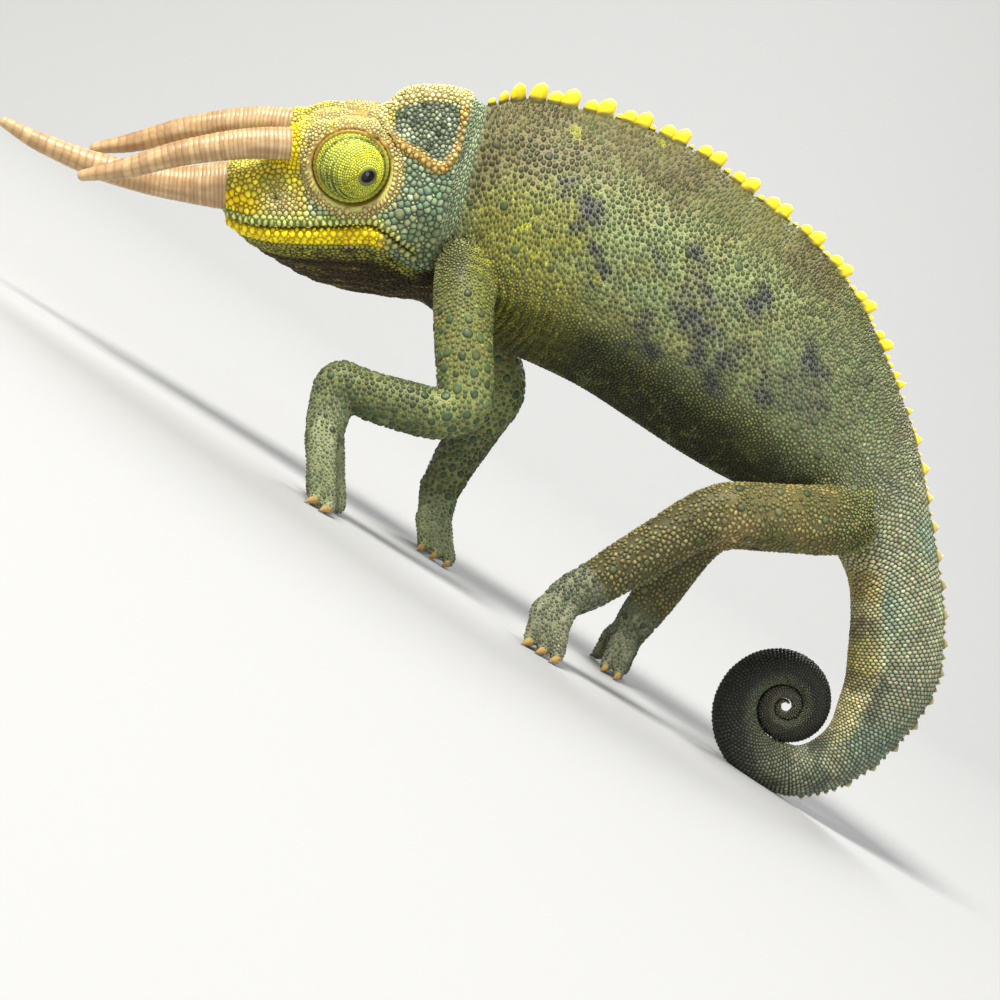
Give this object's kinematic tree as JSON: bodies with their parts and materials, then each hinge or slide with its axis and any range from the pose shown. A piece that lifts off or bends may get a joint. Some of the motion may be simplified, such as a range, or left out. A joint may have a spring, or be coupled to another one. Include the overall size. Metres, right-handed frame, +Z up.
{
  "type": "three-horned chameleon, adult male, still model",
  "caption": "Life-size still model of an adult male three-horned chameleon with a scaled skin, ringed horns, eye turrets, a toothed back crest and a coiled tail.",
  "frame": {"origin": "middle of the bounding box at floor level, under the chest", "axes": "+X from the horns towards the tail, +Y towards the animal's right side, +Z up"},
  "size_m": [0.1914, 0.0534, 0.0882],
  "materials": {
    "skin": "dry pebbled scales, dark olive over green, pale lines between",
    "scale": "small domed scales, satin, olive and green with dark blotches",
    "crest": "waxy yellow crest scales with pale tips",
    "horn": "tan ringed horn, satin, fine lengthwise grain",
    "claw": "amber claw, slightly glossy",
    "eye_turret": "lime granular lid skin in rings round the pupil",
    "eyeball": "wet dark pupil with an amber rim"
  },
  "bodies": {
    "root": {"head": "skin", "jaw": "skin", "neck": "skin", "torso": "skin", "hips": "skin", "tail_base": "skin", "tail_bend": "skin", "tail_coil_outer": "skin", "tail_coil_return": "skin", "tail_coil_inner": "skin", "tail_tip": "skin", "front_left_upper": "skin", "front_left_lower": "skin", "front_left_foot": "skin", "front_right_upper": "skin", "front_right_lower": "skin", "front_right_foot": "skin", "hind_left_upper": "skin", "hind_left_lower": "skin", "hind_left_foot": "skin", "hind_right_upper": "skin", "hind_right_lower": "skin", "hind_right_foot": "skin", "eye_left": "eye_turret", "eye_right": "eye_turret", "eyeball_left": "eyeball", "eyeball_right": "eyeball", "horn_left": "horn", "horn_right": "horn", "horn_rostral": "horn"}
  },
  "joints": []
}
